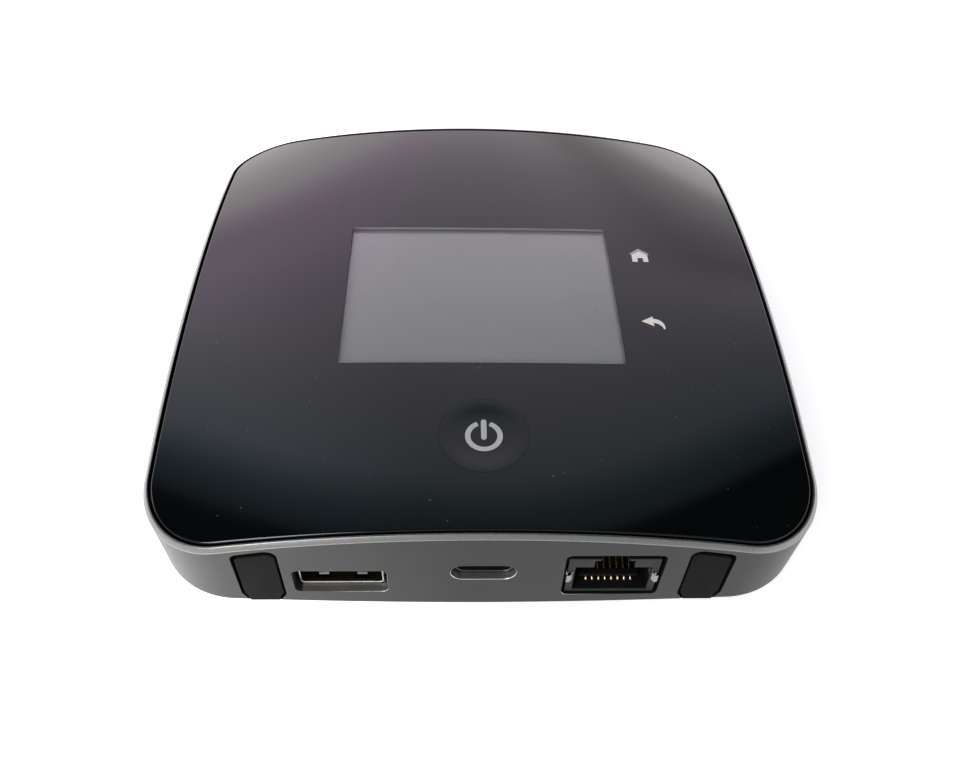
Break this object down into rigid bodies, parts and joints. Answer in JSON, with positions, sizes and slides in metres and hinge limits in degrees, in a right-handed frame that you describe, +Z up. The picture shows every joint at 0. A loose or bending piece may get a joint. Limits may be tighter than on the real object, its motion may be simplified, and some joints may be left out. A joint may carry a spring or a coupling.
{
  "type": "mobile hotspot",
  "caption": "Flat square portable router with a domed black top, a small display, a dished power button and a metal band with sockets along its front.",
  "frame": {"origin": "centre of the underside, on the surface that the feet stand on", "axes": "+Z up, +X to the right seen from the front, the sockets face -Y"},
  "size_m": [0.1054, 0.1054, 0.021],
  "materials": {
    "band_metal": "dark grey anodised satin with a bright machined bevel",
    "panel_gloss": "high gloss black",
    "lens_clear": "clear polished",
    "display_grey": "unlit grey display",
    "seal_rubber": "matt black rubber",
    "steel": "plated steel",
    "flex_film": "amber film",
    "board_laminate": "green solder mask",
    "light_plastic": "milky diffusing plastic",
    "port_plastic": "black moulded plastic",
    "contact_gold": "gold plated",
    "cover_plastic": "fine textured black",
    "chassis_plastic": "black moulded plastic",
    "battery_wrap": "dark grey plastic case",
    "spreader_copper": "bare copper sheet"
  },
  "bodies": {
    "housing": {"antenna_jack_left": "contact_gold", "antenna_jack_right": "contact_gold", "antenna_left": "chassis_plastic", "antenna_rear": "chassis_plastic", "antenna_right": "chassis_plastic", "battery_contacts": "contact_gold", "board_screw_1": "steel", "board_screw_2": "steel", "board_screw_3": "steel", "board_screw_4": "steel", "button_board": "board_laminate", "display_bracket": "steel", "display_flex": "flex_film", "display_lens": "lens_clear", "display_module": "display_grey", "ethernet_contacts": "contact_gold", "ethernet_housing": "port_plastic", "ethernet_shield": "steel", "frame_band": "band_metal", "heat_spreader": "spreader_copper", "inner_chassis": "chassis_plastic", "light_guide": "light_plastic", "main_board": "board_laminate", "modem_shield_can": "steel", "panel_seal": "seal_rubber", "power_switch": "steel", "sim_socket": "steel", "top_panel": "panel_gloss", "touch_sensor": "lens_clear", "usb_a_contacts": "contact_gold", "usb_a_shell": "steel", "usb_a_tongue": "port_plastic", "usb_c_shell": "steel", "usb_c_tongue": "port_plastic", "wifi_shield_can": "steel"},
    "power_button": {"power_button": "panel_gloss"},
    "antenna_flap_left": {"antenna_flap_left": "seal_rubber"},
    "antenna_flap_right": {"antenna_flap_right": "seal_rubber"},
    "back_cover": {"back_cover": "cover_plastic", "foot_1": "seal_rubber", "foot_2": "seal_rubber", "foot_3": "seal_rubber", "foot_4": "seal_rubber"},
    "battery": {"battery_pack": "battery_wrap"}
  },
  "joints": [
    {"name": "power_button_press", "type": "slide", "parent": "housing", "child": "power_button", "axis": [0, 0, -1], "range_m": [0, 0.0003], "stiffness_N_per_m": 3000, "springref_m": -0.0002},
    {"name": "antenna_flap_left_hinge", "type": "hinge", "parent": "housing", "child": "antenna_flap_left", "pos_m": [-0.03425, -0.0522, 0.00175], "axis": [1, 0, 0], "range_deg": [0, 90]},
    {"name": "antenna_flap_right_hinge", "type": "hinge", "parent": "housing", "child": "antenna_flap_right", "pos_m": [0.03425, -0.0522, 0.00175], "axis": [1, 0, 0], "range_deg": [0, 90]},
    {"name": "back_cover_slide", "type": "slide", "parent": "housing", "child": "back_cover", "axis": [0, 0, -1], "range_m": [0, 0.03]},
    {"name": "battery_slide", "type": "slide", "parent": "housing", "child": "battery", "axis": [0, 0, -1], "range_m": [0, 0.012]}
  ],
  "couplings": [
    {"joint": "battery_slide", "follows": "back_cover_slide", "ratio": 0.4}
  ]
}
